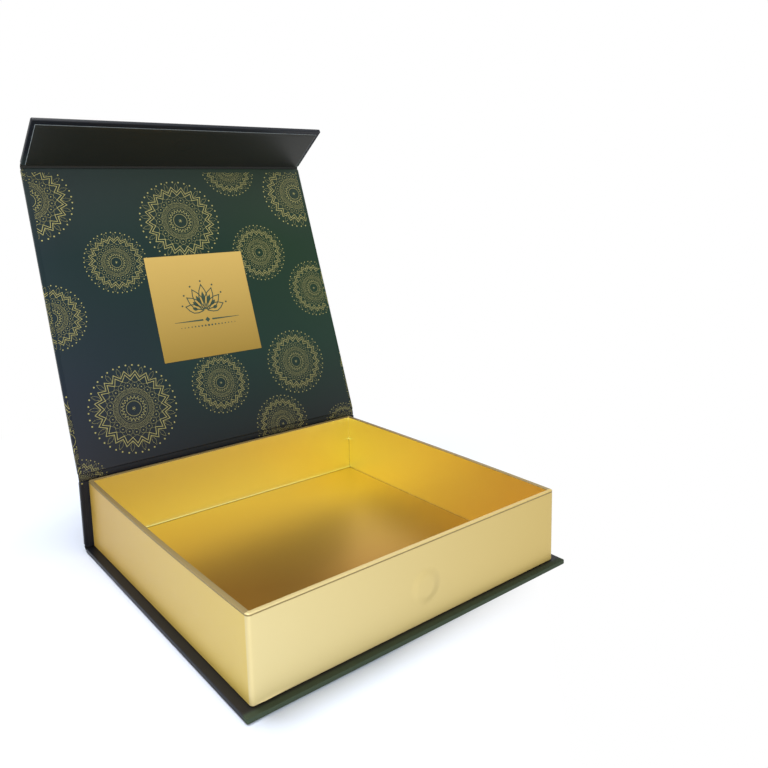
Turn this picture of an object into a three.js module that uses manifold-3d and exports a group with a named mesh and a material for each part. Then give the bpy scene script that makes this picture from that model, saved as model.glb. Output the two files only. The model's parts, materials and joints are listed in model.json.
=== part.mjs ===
// Rigid gift box: a gold tray in a wrapped board case with a hinged lid and a magnetic front flap.
// Millimetres, +Z up, front towards -Y. The origin is under the middle of the tray, on the surface
// that the box stands on. The box is modelled open, with the lid leaning back and the flap bent in.
import * as THREE from 'three';
import { mergeVertices } from 'three/addons/utils/BufferGeometryUtils.js';
import Module from 'manifold-3d';

const wasm = await Module();
wasm.setup();

// Tray, outside the gold paper
const TRAY_WIDTH = 203;
const TRAY_DEPTH = 203;
const TRAY_HEIGHT = 43.6;
const TRAY_CORNER_RADIUS = 1.6;
const RIM_RADIUS = 0.5;
const TRAY_BOARD = 2;
const RIM_TURN_IN = 18;
const BOTTOM_TURN_IN = 15;

// Corner stays: kraft tape that holds the tray's walls together, under the gold paper
const STAY_TAPE = 0.1;
const STAY_LEG = 18;
const STAY_END_GAP = 1.5;

// Case panels: board, the printed paper round it and the lining inside it
const CASE_BOARD = 2;
const PAPER = 0.15;
const CASE_TURN_IN = 15;
const CASE_CORNER_RADIUS = 1;
const CASE_EDGE_RADIUS = 0.4;
const SIDE_OVERHANG = 5;
const FRONT_OVERHANG = 5;
const LINER_INSET = 2.5;
const MITRE_GAP = 0.3;

// Folds: each panel ends this far past half its thickness from the fold's axis
const FOLD_EASE = 0.6;
const FOLD_STRIP_GAP = 0.25;
const LID_OPEN_DEGREES = 109.6;
const FLAP_FOLD_DEGREES = 72.9;

// Fits
const GLUE = 0.1;
const BOARD_JOINT = 0.1;
const LINER_SEAM = 0.2;
const FLOOR_LINER_GAP = 0.4;
const LID_REST_GAP = 0.3;
const FLAP_GAP = 0.4;
const FLAP_FOOT_GAP = 1.2;

// Disc magnets, one in the front wall and one in the flap that meets it
const MAGNET_DIAMETER = 15;
const MAGNET_HEIGHT = 19.7;
const MAGNET_PLAY = 0.2;
const POCKET_FLOOR = 0.5;
const MAGNET_SIDES = 32;

// Gold foil panels on the lid
const PANEL_SIDE = 75.6;
const PANEL_FROM_HINGE = 100.3;
const FOIL = 0.1;

// Facets of the rounded edges
const CORNER_STEPS = 4;
const EDGE_STEPS = 2;
const FOLD_STEPS = 12;
const OVERCUT = 1;

// Stack of a case panel, from its outer face inwards, about the middle of its thickness
const PANEL_THICKNESS = CASE_BOARD + 3 * PAPER + 3 * GLUE;
const OUTER_FACE = PANEL_THICKNESS / 2;
const BOARD_OUTER = OUTER_FACE - PAPER - GLUE;
const BOARD_INNER = BOARD_OUTER - CASE_BOARD;
const TURN_IN_INNER = BOARD_INNER - GLUE - PAPER;
const LINER_INNER = -OUTER_FACE;
const LINER_OUTER = LINER_INNER + PAPER;
const STRIP_THICKNESS = 2 * PAPER;
const FOLD_REACH = PANEL_THICKNESS / 2 + FOLD_EASE;

// Places that the pieces share
const PANEL_WIDTH = TRAY_WIDTH + 2 * SIDE_OVERHANG;
const BASE_TOP = OUTER_FACE - TURN_IN_INNER;
const TRAY_BOTTOM = BASE_TOP + GLUE;
const TRAY_RIM = TRAY_BOTTOM + TRAY_HEIGHT;
const SPINE_Y = TRAY_DEPTH / 2 + GLUE + PANEL_THICKNESS / 2;
const BASE_FOLD_Z = OUTER_FACE;
const LID_HINGE_Z = TRAY_RIM + LID_REST_GAP + PANEL_THICKNESS / 2;
const SPINE_LENGTH = LID_HINGE_Z - BASE_FOLD_Z;
const BASE_LENGTH = SPINE_Y + TRAY_DEPTH / 2 + FRONT_OVERHANG;
const LID_LENGTH = SPINE_Y + TRAY_DEPTH / 2 + FLAP_GAP + PANEL_THICKNESS / 2;
const FLAP_LENGTH = LID_HINGE_Z - BASE_TOP - FLAP_FOOT_GAP;
const MAGNET_Z = TRAY_BOTTOM + MAGNET_HEIGHT;

const radians = THREE.MathUtils.degToRad;

// Materials
const greyboard = new THREE.MeshStandardMaterial({ color: '#a79f90', roughness: 0.9 });
const printedPaper = new THREE.MeshStandardMaterial({ color: '#2b3639', roughness: 0.45 });
const darkLining = new THREE.MeshStandardMaterial({ color: '#1f221f', roughness: 0.5 });
const goldPaper = new THREE.MeshStandardMaterial({ color: '#dcc47a', roughness: 0.38, metalness: 0.9 });
const goldFoil = new THREE.MeshStandardMaterial({ color: '#d3b45f', roughness: 0.3, metalness: 1 });
const kraftTape = new THREE.MeshStandardMaterial({ color: '#b18b58', roughness: 0.85 });
const nickel = new THREE.MeshStandardMaterial({ color: '#c3c5c8', roughness: 0.25, metalness: 1 });

// A closed geometry as a solid that can be cut and joined
function solidOf(geometry) {
  geometry.deleteAttribute('normal');
  geometry.deleteAttribute('uv');
  const welded = mergeVertices(geometry);
  const vertProperties = new Float32Array(welded.attributes.position.array);
  const triVerts = new Uint32Array(welded.index.array);
  return new wasm.Manifold(new wasm.Mesh({ numProp: 3, vertProperties, triVerts }));
}

function geometryOf(solid) {
  const { vertProperties, triVerts } = solid.getMesh();
  const geometry = new THREE.BufferGeometry();
  geometry.setAttribute('position', new THREE.BufferAttribute(vertProperties, 3));
  geometry.setIndex(new THREE.BufferAttribute(triVerts, 1));
  geometry.computeVertexNormals();
  return geometry;
}

// A box from its lowest to its highest corner
function block([x0, y0, z0], [x1, y1, z1]) {
  const box = new THREE.BoxGeometry(x1 - x0, y1 - y0, z1 - z0);
  return solidOf(box.translate((x0 + x1) / 2, (y0 + y1) / 2, (z0 + z1) / 2));
}

// A box with rounded corners in plan and, where edge is over zero, rounded top and bottom edges
function plate([x0, y0, z0], [x1, y1, z1], corner, edge = 0) {
  const outline = new THREE.Shape();
  outline.absarc(x1 - corner, y1 - corner, corner, 0, Math.PI / 2);
  outline.absarc(x0 + corner, y1 - corner, corner, Math.PI / 2, Math.PI);
  outline.absarc(x0 + corner, y0 + corner, corner, Math.PI, 1.5 * Math.PI);
  outline.absarc(x1 - corner, y0 + corner, corner, 1.5 * Math.PI, 2 * Math.PI);
  outline.closePath();
  const slab = new THREE.ExtrudeGeometry(outline, {
    depth: z1 - z0 - 2 * edge,
    curveSegments: CORNER_STEPS,
    bevelEnabled: edge > 0,
    bevelThickness: edge,
    bevelSize: edge,
    bevelOffset: -edge,
    bevelSegments: EDGE_STEPS,
  });
  return solidOf(slab.translate(0, 0, z0 + edge));
}

// A disc on an axis along Y or Z, from one end to the other
function disc(radius, centre, axis, from, to) {
  const round = new THREE.CylinderGeometry(radius, radius, to - from, MAGNET_SIDES);
  const middle = (from + to) / 2;
  if (axis === 'z') {
    round.rotateX(Math.PI / 2);
    return solidOf(round.translate(centre[0], centre[1], middle));
  }
  return solidOf(round.translate(centre[0], middle, centre[1]));
}

function addPiece(group, name, solid, material) {
  const piece = new THREE.Mesh(geometryOf(solid), material);
  piece.name = name;
  group.add(piece);
}

// Case panels
// Each panel is built as it lies on the maker's table: X across, its fold's axis at y = 0, the board
// running towards -Y and the outer face up. far is 'fold' where another panel follows, else 'edge'.
function panelSpan(length, far) {
  return { near: -FOLD_REACH, end: far === 'fold' ? FOLD_REACH - length : -length };
}

function panelBoard(length, far) {
  const { near, end } = panelSpan(length, far);
  const inset = PAPER + GLUE;
  const half = PANEL_WIDTH / 2 - inset;
  return plate(
    [-half, end + inset, BOARD_INNER],
    [half, near - inset, BOARD_OUTER],
    CASE_CORNER_RADIUS - inset,
  );
}

// The printed paper goes over the outer face, round the side edges and in over the inner face. At a
// fold it dips over the board's end to meet the lining at the fold strip, in the middle.
function panelWrap(length, far) {
  const { near, end } = panelSpan(length, far);
  const half = PANEL_WIDTH / 2;
  const farTurnIn = far === 'fold' ? -OVERCUT : CASE_TURN_IN;
  let wrap = plate(
    [-half, end, TURN_IN_INNER],
    [half, near, OUTER_FACE],
    CASE_CORNER_RADIUS,
    CASE_EDGE_RADIUS,
  );
  const hollow = plate(
    [-half + PAPER, end + PAPER, TURN_IN_INNER + PAPER],
    [half - PAPER, near - PAPER, OUTER_FACE - PAPER],
    CASE_CORNER_RADIUS - PAPER,
    CASE_EDGE_RADIUS - PAPER,
  );
  const window = block(
    [-half + CASE_TURN_IN, end + farTurnIn, TURN_IN_INNER - OVERCUT],
    [half - CASE_TURN_IN, near + OVERCUT, 0],
  );
  wrap = wrap.subtract(hollow).subtract(window);
  wrap = wrap.subtract(foldCut(near - PAPER - GLUE, near + OVERCUT));
  if (far === 'fold') {
    return wrap.subtract(foldCut(end - OVERCUT, end + PAPER + GLUE));
  }
  for (const side of [-1, 1]) {
    wrap = wrap.subtract(mitre(side, end));
  }
  return wrap;
}

// What the wrap leaves free at a fold, where the lining dips to the fold strip
function foldCut(y0, y1) {
  const half = PANEL_WIDTH / 2 - LINER_INSET + GLUE;
  return block([-half, y0, TURN_IN_INNER - OVERCUT], [half, y1, STRIP_THICKNESS / 2 + GLUE]);
}

// The slanted seam between two turn-ins at a free corner
function mitre(side, end) {
  const corner = CASE_CORNER_RADIUS + CASE_EDGE_RADIUS;
  const length = Math.SQRT2 * CASE_TURN_IN;
  const seam = new THREE.BoxGeometry(length, MITRE_GAP, 2 * PAPER);
  seam.translate(length / 2 + Math.SQRT2 * corner, 0, TURN_IN_INNER + PAPER / 2);
  seam.rotateZ(side > 0 ? (3 * Math.PI) / 4 : Math.PI / 4);
  seam.translate((side * PANEL_WIDTH) / 2, end, 0);
  return solidOf(seam);
}

// The lining is inset from the free edges and dips over the board's end at each fold
function panelLiner(length, far) {
  const { near, end } = panelSpan(length, far);
  const half = PANEL_WIDTH / 2 - LINER_INSET;
  const lipTop = -STRIP_THICKNESS / 2 - GLUE;
  const sheetEnd = far === 'fold' ? end : end + LINER_INSET;
  let liner = block([-half, sheetEnd, LINER_INNER], [half, near, LINER_OUTER]);
  liner = liner.add(block([-half, near - PAPER, LINER_INNER], [half, near, lipTop]));
  if (far === 'fold') {
    liner = liner.add(block([-half, end, LINER_INNER], [half, end + PAPER, lipTop]));
  }
  return liner;
}

// Wrap and lining pressed together in the groove between two boards, bent by the fold's angle about
// the fold's axis. It starts along -Y, on the first panel's side, and bends towards its inner face.
function foldStrip(angle) {
  const tangent = FOLD_REACH - FOLD_STRIP_GAP;
  const bend = tangent / Math.tan(angle / 2);
  const profile = new THREE.Shape();
  const from = Math.PI / 2;
  profile.absarc(tangent, -bend, bend + STRIP_THICKNESS / 2, from, from + angle);
  profile.absarc(tangent, -bend, bend - STRIP_THICKNESS / 2, from + angle, from, true);
  profile.closePath();
  const strip = new THREE.ExtrudeGeometry(profile, {
    depth: PANEL_WIDTH,
    curveSegments: FOLD_STEPS,
    bevelEnabled: false,
  });
  // The profile's X and Y become the panel's Y and Z, and its depth runs across the panel
  const across = new THREE.Matrix4().set(
    0, 0, 1, -PANEL_WIDTH / 2,
    1, 0, 0, 0,
    0, 1, 0, 0,
    0, 0, 0, 1,
  );
  return solidOf(strip.applyMatrix4(across));
}

const giftBox = new THREE.Group();

// Base: lies with its outer face down
const base = new THREE.Group();
base.position.set(0, SPINE_Y, BASE_FOLD_Z);
base.rotation.y = Math.PI;
giftBox.add(base);
addPiece(base, 'base_board', panelBoard(BASE_LENGTH, 'edge'), greyboard);
addPiece(base, 'base_wrap', panelWrap(BASE_LENGTH, 'edge'), printedPaper);

// Spine: stands against the back of the tray
const spine = new THREE.Group();
spine.position.set(0, SPINE_Y, BASE_FOLD_Z);
spine.rotation.x = -Math.PI / 2;
giftBox.add(spine);
addPiece(spine, 'spine_board', panelBoard(SPINE_LENGTH, 'fold'), greyboard);
addPiece(spine, 'spine_wrap', panelWrap(SPINE_LENGTH, 'fold'), printedPaper);
addPiece(spine, 'spine_liner', panelLiner(SPINE_LENGTH, 'fold'), printedPaper);

const baseFold = new THREE.Group();
baseFold.position.copy(spine.position);
baseFold.rotation.x = Math.PI;
giftBox.add(baseFold);
addPiece(baseFold, 'base_fold_strip', foldStrip(Math.PI / 2), printedPaper);

// Tray
// Its layers are boxes inside each other, each at its own depth from the outside of the gold paper
const STAY_DEPTH = PAPER + GLUE;
const BOARD_DEPTH = STAY_DEPTH + STAY_TAPE + GLUE;
const LINER_DEPTH = BOARD_DEPTH + TRAY_BOARD + GLUE;
const CAVITY_DEPTH = LINER_DEPTH + PAPER;
const WALL_BOTTOM = TRAY_BOTTOM + PAPER + GLUE;
const WALL_TOP = TRAY_RIM - PAPER - GLUE;
const FLOOR_TOP = WALL_BOTTOM + TRAY_BOARD;

function trayCorners(depth, z0, z1) {
  const x = TRAY_WIDTH / 2 - depth;
  const y = TRAY_DEPTH / 2 - depth;
  return [[-x, -y, z0], [x, y, z1]];
}

function trayPlate(depth, z0, z1, edge) {
  return plate(...trayCorners(depth, z0, z1), TRAY_CORNER_RADIUS - depth, edge);
}

function trayBlock(depth, z0, z1) {
  return block(...trayCorners(depth, z0, z1));
}

const tray = new THREE.Group();
giftBox.add(tray);

addPiece(
  tray,
  'tray_floor_board',
  trayBlock(BOARD_DEPTH + TRAY_BOARD + BOARD_JOINT, WALL_BOTTOM, FLOOR_TOP),
  greyboard,
);

// Front and back walls run the full width, with the side walls between them
const wallsOutside = trayPlate(BOARD_DEPTH, WALL_BOTTOM, WALL_TOP);
const wallX = TRAY_WIDTH / 2 - BOARD_DEPTH;
const wallY = TRAY_DEPTH / 2 - BOARD_DEPTH;
const sideEnd = wallY - TRAY_BOARD - BOARD_JOINT;

function wallBoard(x0, y0, x1, y1) {
  return wallsOutside.intersect(block([x0, y0, WALL_BOTTOM], [x1, y1, WALL_TOP]));
}

const pocketRadius = MAGNET_DIAMETER / 2 + MAGNET_PLAY;
const trayPocketEnd = -wallY + TRAY_BOARD - POCKET_FLOOR;
const frontPocket = disc(pocketRadius, [0, MAGNET_Z], 'y', -wallY - OVERCUT, trayPocketEnd);
const frontBoard = wallBoard(-wallX, -wallY, wallX, TRAY_BOARD - wallY).subtract(frontPocket);
addPiece(tray, 'tray_front_board', frontBoard, greyboard);
addPiece(tray, 'tray_back_board', wallBoard(-wallX, wallY - TRAY_BOARD, wallX, wallY), greyboard);
addPiece(tray, 'tray_left_board', wallBoard(-wallX, -sideEnd, TRAY_BOARD - wallX, sideEnd), greyboard);
addPiece(tray, 'tray_right_board', wallBoard(wallX - TRAY_BOARD, -sideEnd, wallX, sideEnd), greyboard);

const trayMagnet = disc(MAGNET_DIAMETER / 2, [0, MAGNET_Z], 'y', -wallY, trayPocketEnd - GLUE);
addPiece(tray, 'tray_magnet', trayMagnet, nickel);

// Corner stays, each folded round one outer corner
const stayLow = WALL_BOTTOM + STAY_END_GAP;
const stayHigh = WALL_TOP - STAY_END_GAP;
const stayRing = trayPlate(STAY_DEPTH, stayLow, stayHigh).subtract(
  trayPlate(STAY_DEPTH + STAY_TAPE, stayLow - OVERCUT, stayHigh + OVERCUT),
);
for (const [depthName, ySign] of [['front', -1], ['back', 1]]) {
  for (const [sideName, xSign] of [['left', -1], ['right', 1]]) {
    const x = (xSign * TRAY_WIDTH) / 2;
    const y = (ySign * TRAY_DEPTH) / 2;
    const corner = block(
      [x - STAY_LEG, y - STAY_LEG, stayLow - OVERCUT],
      [x + STAY_LEG, y + STAY_LEG, stayHigh + OVERCUT],
    );
    addPiece(tray, `tray_stay_${depthName}_${sideName}`, stayRing.intersect(corner), kraftTape);
  }
}

// Gold paper: over the walls outside, in under the floor, and over the rim down the inside
const trayHollow = trayPlate(PAPER, TRAY_BOTTOM + PAPER, TRAY_RIM - PAPER, RIM_RADIUS - PAPER);
const bottomWindow = trayBlock(BOTTOM_TURN_IN, TRAY_BOTTOM - OVERCUT, TRAY_BOTTOM + OVERCUT);
const mouth = trayBlock(CAVITY_DEPTH, TRAY_RIM - OVERCUT, TRAY_RIM + OVERCUT);
const rimLow = TRAY_RIM - RIM_TURN_IN;
const rimTurnIn = trayBlock(LINER_DEPTH, rimLow, TRAY_RIM - PAPER / 2).subtract(
  trayBlock(CAVITY_DEPTH, rimLow - OVERCUT, TRAY_RIM + OVERCUT),
);
const trayWrap = trayPlate(0, TRAY_BOTTOM, TRAY_RIM, RIM_RADIUS)
  .subtract(trayHollow)
  .subtract(bottomWindow)
  .subtract(mouth)
  .add(rimTurnIn);
addPiece(tray, 'tray_wrap', trayWrap, goldPaper);

// Gold liners: one sheet a wall, under the turned-in paper, and one on the floor
const linerX = TRAY_WIDTH / 2 - LINER_DEPTH;
const linerY = TRAY_DEPTH / 2 - LINER_DEPTH;
const linerLow = FLOOR_TOP + GLUE;
const linerHigh = rimLow - LINER_SEAM;
const linerEnd = linerY - PAPER - LINER_SEAM;

function wallLiner(name, x0, y0, x1, y1) {
  addPiece(tray, name, block([x0, y0, linerLow], [x1, y1, linerHigh]), goldPaper);
}

wallLiner('tray_front_liner', -linerX, -linerY, linerX, PAPER - linerY);
wallLiner('tray_back_liner', -linerX, linerY - PAPER, linerX, linerY);
wallLiner('tray_left_liner', -linerX, -linerEnd, PAPER - linerX, linerEnd);
wallLiner('tray_right_liner', linerX - PAPER, -linerEnd, linerX, linerEnd);
addPiece(
  tray,
  'tray_floor_liner',
  trayBlock(CAVITY_DEPTH + FLOOR_LINER_GAP, linerLow, linerLow + PAPER),
  goldPaper,
);

// Lid: turns about the top of the spine, flat over the rim at 0 degrees
const lid = new THREE.Group();
lid.position.set(0, SPINE_Y, LID_HINGE_Z);
lid.rotation.x = -radians(LID_OPEN_DEGREES);
giftBox.add(lid);
addPiece(lid, 'lid_board', panelBoard(LID_LENGTH, 'fold'), greyboard);
addPiece(lid, 'lid_wrap', panelWrap(LID_LENGTH, 'fold'), printedPaper);
addPiece(lid, 'lid_liner', panelLiner(LID_LENGTH, 'fold'), printedPaper);

// The strip runs from the lid to the upright spine: it bends out while the lid leans back, else in
const lean = radians(LID_OPEN_DEGREES) - Math.PI / 2;
const lidHinge = new THREE.Group();
if (lean > 0) {
  lidHinge.rotation.x = Math.PI;
} else {
  lidHinge.rotation.z = Math.PI;
}
lid.add(lidHinge);
addPiece(lidHinge, 'lid_hinge_strip', foldStrip(Math.abs(lean)), printedPaper);

function foilPanel(z0, z1) {
  const half = PANEL_SIDE / 2;
  return block([-half, -PANEL_FROM_HINGE - half, z0], [half, half - PANEL_FROM_HINGE, z1]);
}

const outerFoil = OUTER_FACE + GLUE;
const innerFoil = LINER_INNER - GLUE;
addPiece(lid, 'lid_outer_panel', foilPanel(outerFoil, outerFoil + FOIL), goldFoil);
addPiece(lid, 'lid_inner_panel', foilPanel(innerFoil - FOIL, innerFoil), goldFoil);

// Flap: turns about the lid's free end, in line with the lid at 0 degrees
const flap = new THREE.Group();
flap.position.set(0, -LID_LENGTH, 0);
flap.rotation.x = radians(FLAP_FOLD_DEGREES);
lid.add(flap);
const flapMagnetAt = [0, MAGNET_Z - LID_HINGE_Z];
const flapPocketEnd = BOARD_INNER + CASE_BOARD - POCKET_FLOOR;
const flapPocket = disc(pocketRadius, flapMagnetAt, 'z', BOARD_INNER - OVERCUT, flapPocketEnd);
const flapBoard = panelBoard(FLAP_LENGTH, 'edge').subtract(flapPocket);
const flapMagnet = disc(MAGNET_DIAMETER / 2, flapMagnetAt, 'z', BOARD_INNER, flapPocketEnd - GLUE);
addPiece(flap, 'flap_board', flapBoard, greyboard);
addPiece(flap, 'flap_wrap', panelWrap(FLAP_LENGTH, 'edge'), printedPaper);
addPiece(flap, 'flap_liner', panelLiner(FLAP_LENGTH, 'edge'), darkLining);
addPiece(flap, 'flap_magnet', flapMagnet, nickel);

const flapHinge = new THREE.Group();
flapHinge.position.copy(flap.position);
lid.add(flapHinge);
addPiece(flapHinge, 'flap_hinge_strip', foldStrip(flap.rotation.x), darkLining);

export default giftBox;
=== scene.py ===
import json
import math

import bmesh
import bpy
from mathutils import Matrix, Vector


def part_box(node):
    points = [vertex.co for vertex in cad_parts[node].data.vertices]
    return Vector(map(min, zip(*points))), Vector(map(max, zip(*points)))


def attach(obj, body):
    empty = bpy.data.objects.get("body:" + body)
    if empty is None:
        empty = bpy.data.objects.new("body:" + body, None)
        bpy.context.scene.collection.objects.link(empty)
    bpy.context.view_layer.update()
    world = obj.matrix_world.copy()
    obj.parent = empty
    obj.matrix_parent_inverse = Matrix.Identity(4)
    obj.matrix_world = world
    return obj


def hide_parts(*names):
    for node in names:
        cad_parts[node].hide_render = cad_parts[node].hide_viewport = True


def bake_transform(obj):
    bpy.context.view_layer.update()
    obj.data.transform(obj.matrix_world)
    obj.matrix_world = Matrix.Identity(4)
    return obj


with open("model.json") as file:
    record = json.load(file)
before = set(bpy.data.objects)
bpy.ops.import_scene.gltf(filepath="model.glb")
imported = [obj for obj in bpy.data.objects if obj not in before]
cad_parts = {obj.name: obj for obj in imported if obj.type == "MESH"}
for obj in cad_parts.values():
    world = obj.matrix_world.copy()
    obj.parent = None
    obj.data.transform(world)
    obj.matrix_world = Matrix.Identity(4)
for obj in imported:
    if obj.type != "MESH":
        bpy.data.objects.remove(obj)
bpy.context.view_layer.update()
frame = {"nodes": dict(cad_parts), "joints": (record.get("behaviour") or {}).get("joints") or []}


# Boards of the case and the tray
# Greyboard, pressed from waste paper and cut to 2 mm panels, which the glued papers hold and hide.
# The CAD solids have the real shape, so they stay and only get their surface.
MM = 0.001


def linear(code):
    """An sRGB hex colour as the linear colour that a shader takes."""
    shares = [int(code[i:i + 2], 16) / 255 for i in (1, 3, 5)]
    return [s / 12.92 if s <= 0.04045 else ((s + 0.055) / 1.055) ** 2.4 for s in shares] + [1.0]


def add_node(tree, kind, inputs, **settings):
    """Adds a shader node with its settings, and sets each input or links it to another node."""
    node = tree.nodes.new("ShaderNode" + kind)
    for name, value in settings.items():
        setattr(node, name, value)
    for socket, value in inputs.items():
        if isinstance(value, bpy.types.Node):
            value = value.outputs[0]
        if isinstance(value, bpy.types.NodeSocket):
            tree.links.new(value, node.inputs[socket])
        else:
            node.inputs[socket].default_value = value
    return node


def new_material(name):
    """An empty material, with its node tree and the place on the piece that its patterns follow."""
    material = bpy.data.materials.new(name)
    material.use_nodes = True
    tree = material.node_tree
    tree.nodes.clear()
    return material, tree, add_node(tree, "TexCoord", {}).outputs["Object"]


def dress(material, *names):
    """Gives CAD nodes that stay in view their surface."""
    for name in names:
        frame["nodes"][name].material_slots[0].material = material


# Greyboard is dull and flecked, with pale and dark fibres and no shine
FIBRE = 0.9 * MM
greyboard, tree, place = new_material("greyboard")
fibres = add_node(tree, "TexNoise", {"Vector": place, "Scale": 1 / FIBRE, "Detail": 4.0})
flecks = add_node(tree, "MixRGB", {"Fac": fibres, "Color1": linear("#857d70"), "Color2": linear("#b8b0a0")})
nap = add_node(tree, "Bump", {"Height": fibres, "Distance": 0.05 * MM, "Strength": 0.5})
surface = add_node(tree, "BsdfPrincipled", {"Base Color": flecks, "Roughness": 0.9, "Normal": nap})
add_node(tree, "OutputMaterial", {"Surface": surface})
dress(greyboard, "base_board", "spine_board", "lid_board", "flap_board")
dress(greyboard, "tray_floor_board", "tray_front_board", "tray_back_board")


# Corner stays of the tray
# Gummed kraft tape, folded round each corner of the tray's boards before the gold paper goes on.
# Kraft is brown and matt, with long fibres that run up the tape.
KRAFT_FIBRE = 0.6 * MM
kraft, tree, place = new_material("kraft tape")
stretch = add_node(tree, "Mapping", {"Vector": place, "Scale": (1.0, 1.0, 0.2)})
streaks = add_node(tree, "TexNoise", {"Vector": stretch, "Scale": 1 / KRAFT_FIBRE, "Detail": 3.0})
brown = add_node(tree, "MixRGB", {"Fac": streaks, "Color1": linear("#9a7444"), "Color2": linear("#c09a68")})
surface = add_node(tree, "BsdfPrincipled", {"Base Color": brown, "Roughness": 0.8})
add_node(tree, "OutputMaterial", {"Surface": surface})
for end in ("front", "back"):
    for side in ("left", "right"):
        dress(kraft, f"tray_stay_{end}_{side}")


# Disc magnets
# Sintered magnets, nickel-plated, one pressed into a pocket of the tray's front board and one into the
# flap's. The plating is bright, with a grain from barrel polishing.
POLISH_GRAIN = 0.4 * MM
nickel, tree, place = new_material("nickel plating")
grain = add_node(tree, "TexNoise", {"Vector": place, "Scale": 1 / POLISH_GRAIN})
sheen = add_node(tree, "MapRange", {"Value": grain, "To Min": 0.2, "To Max": 0.36})
surface = add_node(
    tree,
    "BsdfPrincipled",
    {"Base Color": linear("#c6c2ba"), "Metallic": 1.0, "Roughness": sheen},
)
add_node(tree, "OutputMaterial", {"Surface": surface})
dress(nickel, "tray_magnet", "flap_magnet")


# Gold paper round the tray
# Pearl gold paper, glued round the walls and in under the floor. The lining's sheet is folded out over the
# rim and leaves a shallow groove under it, painted dark as its shadow. The side walls bow, the magnet shows
# through the front, the lower edge stands off at one corner, and the turned-in edge lifts inside the corners.
tray_low, tray_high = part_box("tray_wrap")
tray_height = tray_high.z - tray_low.z
WALL_CORNER = 2.1 * MM
TURN_FOLD = 0.3 * MM
CORNER_LIFT = 0.28 * MM
LIFT_HEIGHT = 0.5 * MM
PAPER = 0.15 * MM
RIM_ROUND = 0.4 * MM
RIM_SUPPORT = 0.1 * MM
BOTTOM_ROUND = 0.8 * MM
RIM_FOLD = 0.8 * MM
FOLD_GROOVE = 0.35 * MM
FOLD_FLAT = 0.28 * MM
FOLD_DEPTH = 0.12 * MM
FOLD_CLEAR = 0.7 * MM
BOW = 1.3 * MM
STATIONS = 36
STATION_CROWDING = 0.7
EDGE_STEPS = 4
FLARE_ROWS = 4
OUTER_ROWS = 34
OUTER_FIRST = 2
GROOVE_ROWS = 3
INNER_ROWS = 8
SHARP_ANGLE = math.radians(38)
RIM_TURN_IN = 18 * MM
BOTTOM_TURN_IN = 15 * MM
rim_depth = tray_high.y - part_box("tray_back_liner")[0].y
magnet_low, magnet_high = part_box("tray_magnet")
magnet_z = (magnet_low.z + magnet_high.z) / 2
magnet_radius = (magnet_high.z - magnet_low.z) / 2
MAGNET_RISE = 0.24 * MM
MAGNET_SLOPE = 2.4 * MM
FLARE = 0.6 * MM
FLARE_HEIGHT = 0.7 * MM
FLARE_START = 2 * MM
FLARE_LENGTH = 22 * MM
TRAY_SIDES = {
    "front": (Vector((0, -1, 0)), Vector((1, 0, 0))),
    "right": (Vector((1, 0, 0)), Vector((0, 1, 0))),
    "back": (Vector((0, 1, 0)), Vector((-1, 0, 0))),
    "left": (Vector((-1, 0, 0)), Vector((0, -1, 0))),
}


def smooth(share):
    """Eases a share between 0 and 1 in and out."""
    share = min(max(share, 0), 1)
    return share * share * (3 - 2 * share)


def wall_push(side, along, z, depth):
    """How far a wall stands out from true: its bow, the magnet under the paper and the loose corner."""
    if side in ("left", "right"):
        rise = (z - tray_low.z) / tray_height
        return BOW * (1 - (along / tray_high.y) ** 2) * smooth(rise)
    if side == "front" and depth == 0:
        off = math.hypot(along, z - magnet_z) - magnet_radius
        from_corner = along + tray_high.x - WALL_CORNER
        loose = smooth(from_corner / FLARE_START) * smooth(1 - from_corner / FLARE_LENGTH)
        flare = FLARE * loose * smooth(1 - (z - tray_low.z - BOTTOM_ROUND) / FLARE_HEIGHT)
        return MAGNET_RISE * smooth(0.5 - off / MAGNET_SLOPE) + flare
    return 0


def wall_point(side, along, z, depth):
    """A point of one wall, at a depth under the outside of the gold paper."""
    outward, forward = TRAY_SIDES[side]
    half = abs(outward.dot(tray_high))
    spot = outward * (half - depth + wall_push(side, along, z, depth)) + forward * along
    return Vector((spot.x, spot.y, z))


def tray_ring(depth, z):
    """One turn round the tray: each wall's stations, crowded in its middle, then its round corner."""
    radius = max(WALL_CORNER - depth, TURN_FOLD)
    ring = []
    for side, (outward, forward) in TRAY_SIDES.items():
        half = abs(outward.dot(tray_high)) - depth - radius
        reach = abs(forward.dot(tray_high)) - depth - radius
        for step in range(-STATIONS, STATIONS + 1):
            share = step / STATIONS
            ring.append(wall_point(side, reach * share * abs(share) ** STATION_CROWDING, z, depth))
        for step in range(1, 2 * EDGE_STEPS):
            turn = math.pi / 2 * step / (2 * EDGE_STEPS)
            spot = outward * (half + radius * math.cos(turn)) + forward * (reach + radius * math.sin(turn))
            ring.append(Vector((spot.x, spot.y, z)))
    return ring


def rounding(radius):
    """Steps over a rounded edge, from the face to the side: how far in, and how far down."""
    turns = [math.pi / 2 * step / EDGE_STEPS for step in range(EDGE_STEPS + 1)]
    return [(radius * (1 - math.sin(turn)), radius * (1 - math.cos(turn))) for turn in turns]


def skin(name, rows, closed=True, first_cap=False, last_cap=False, panel=Matrix()):
    """A new piece over rows of points, each joined to the next, and placed by a panel's frame."""
    mesh = bmesh.new()
    made = [[mesh.verts.new(panel @ Vector(point)) for point in row] for row in rows]
    for low, high in zip(made, made[1:]):
        for i in range(0 if closed else 1, len(low)):
            mesh.faces.new((low[i - 1], low[i], high[i], high[i - 1]))
    if first_cap:
        mesh.faces.new(made[0][::-1])
    if last_cap:
        mesh.faces.new(made[-1])
    return new_piece(name, mesh)


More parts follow.
